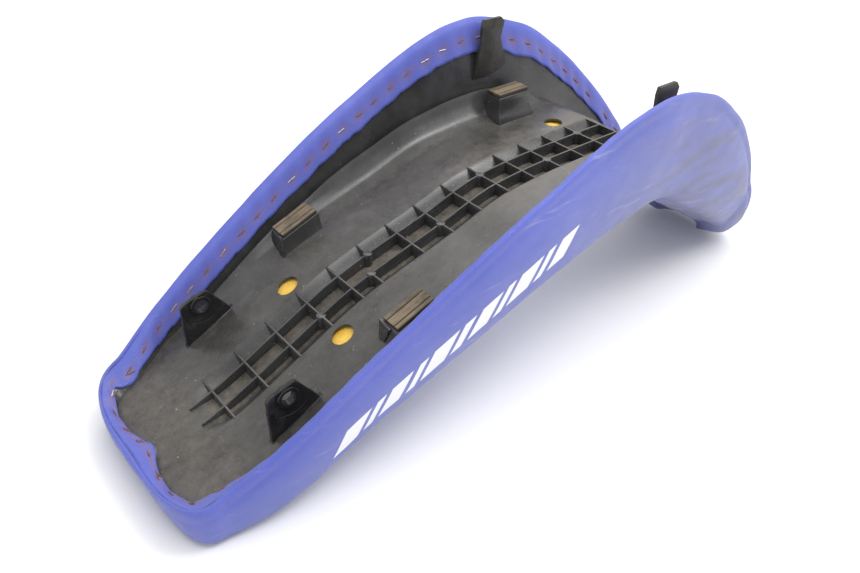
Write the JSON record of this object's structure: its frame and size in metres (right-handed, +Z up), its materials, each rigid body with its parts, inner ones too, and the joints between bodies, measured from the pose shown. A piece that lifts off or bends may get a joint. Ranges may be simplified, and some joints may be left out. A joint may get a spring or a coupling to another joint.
{
  "type": "motorcycle seat",
  "caption": "Upholstered trail motorcycle seat lying upside down: moulded base pan with rib grid and fixing ears, foam, stapled vinyl cover, rubber bumper pads and ear grommets.",
  "frame": {"origin": "middle of the bounding box's bottom, on the plane of symmetry, where the upturned seat lies on the floor", "axes": "+X towards the front (tank) end, +Y to the left as it lies, +Z up, out of the underside of the base pan; on the motorcycle the seat is turned over, so the padded top faces away from -Z"},
  "size_m": [0.78, 0.29, 0.2849],
  "materials": {
    "pan_plastic": "moulded polypropylene, satin, scuffed and dusty",
    "foam_yellow": "open polyurethane foam, aged yellow",
    "vinyl_blue": "vinyl coated fabric, semi matte, blue-violet",
    "pad_rubber": "worn rubber with a tan bloom",
    "ear_plastic": "black moulded plastic, fairly glossy, blacker than the pan",
    "grommet_rubber": "black rubber, slightly glossy",
    "staple_steel": "steel wire, mostly rusted brown"
  },
  "bodies": {
    "root": {"base_pan": "pan_plastic", "foam_cushion": "foam_yellow", "vinyl_cover": "vinyl_blue", "bumper_pad_middle_left": "pad_rubber", "bumper_pad_middle_right": "pad_rubber", "bumper_pad_front_left": "pad_rubber", "bumper_pad_front_right": "pad_rubber", "ear_left": "ear_plastic", "ear_right": "ear_plastic", "ear_grommet_left": "grommet_rubber", "ear_grommet_right": "grommet_rubber", "staple_01": "staple_steel", "staple_02": "staple_steel", "staple_03": "staple_steel", "staple_04": "staple_steel", "staple_05": "staple_steel", "staple_06": "staple_steel", "staple_07": "staple_steel", "staple_08": "staple_steel", "staple_09": "staple_steel", "staple_10": "staple_steel", "staple_11": "staple_steel", "staple_12": "staple_steel", "staple_13": "staple_steel", "staple_14": "staple_steel", "staple_15": "staple_steel", "staple_16": "staple_steel", "staple_17": "staple_steel", "staple_18": "staple_steel", "staple_19": "staple_steel", "staple_20": "staple_steel", "staple_21": "staple_steel", "staple_22": "staple_steel", "staple_23": "staple_steel", "staple_24": "staple_steel", "staple_25": "staple_steel", "staple_26": "staple_steel", "staple_27": "staple_steel", "staple_28": "staple_steel", "staple_29": "staple_steel", "staple_30": "staple_steel", "staple_31": "staple_steel", "staple_32": "staple_steel", "staple_33": "staple_steel", "staple_34": "staple_steel", "staple_35": "staple_steel", "staple_36": "staple_steel", "staple_37": "staple_steel", "staple_38": "staple_steel", "staple_39": "staple_steel", "staple_40": "staple_steel", "staple_41": "staple_steel", "staple_42": "staple_steel", "staple_43": "staple_steel", "staple_44": "staple_steel", "staple_45": "staple_steel", "staple_46": "staple_steel", "staple_47": "staple_steel", "staple_48": "staple_steel", "staple_49": "staple_steel"}
  },
  "joints": []
}
